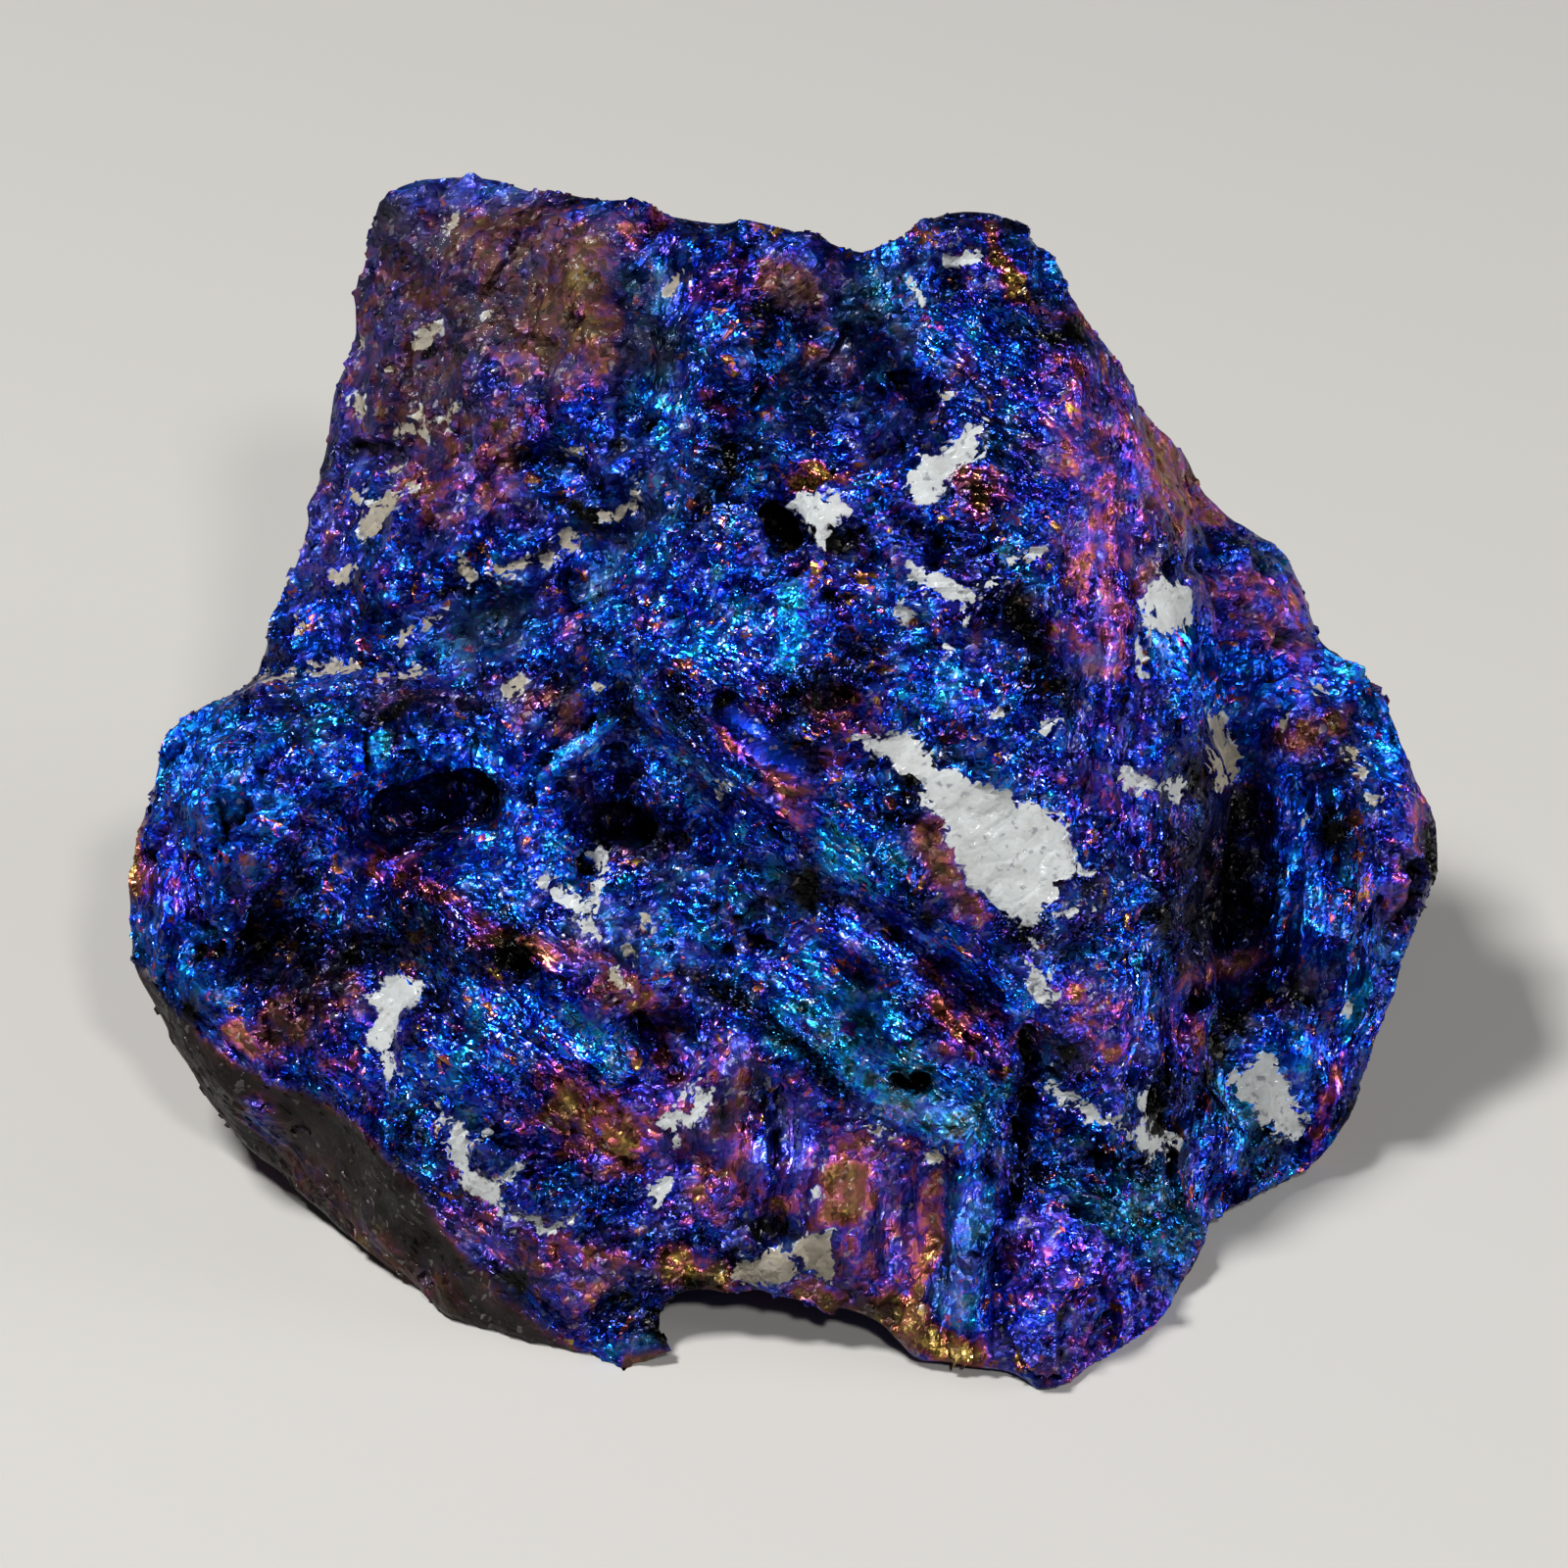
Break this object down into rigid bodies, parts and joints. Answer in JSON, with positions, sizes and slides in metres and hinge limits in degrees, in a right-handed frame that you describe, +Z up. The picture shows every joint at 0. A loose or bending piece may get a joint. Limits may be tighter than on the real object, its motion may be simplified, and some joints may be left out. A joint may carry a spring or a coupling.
{
  "type": "peacock ore specimen",
  "caption": "Broken lump of iridescent copper ore with a hackly blue and violet face, a deep side cleft and pale gangue patches, standing on its own broad base.",
  "frame": {"origin": "middle of the lump's footprint, on the surface that it rests on", "axes": "+Z up; -Y towards the show face, which leans back and is seen square on from 35 degrees above; +X to the right along the lump's length"},
  "size_m": [0.0622, 0.0469, 0.0423],
  "materials": {
    "tarnished_ore": "hackly broken metal under a blue and violet tarnish"
  },
  "bodies": {
    "root": {"peacock_ore": "tarnished_ore"}
  },
  "joints": []
}
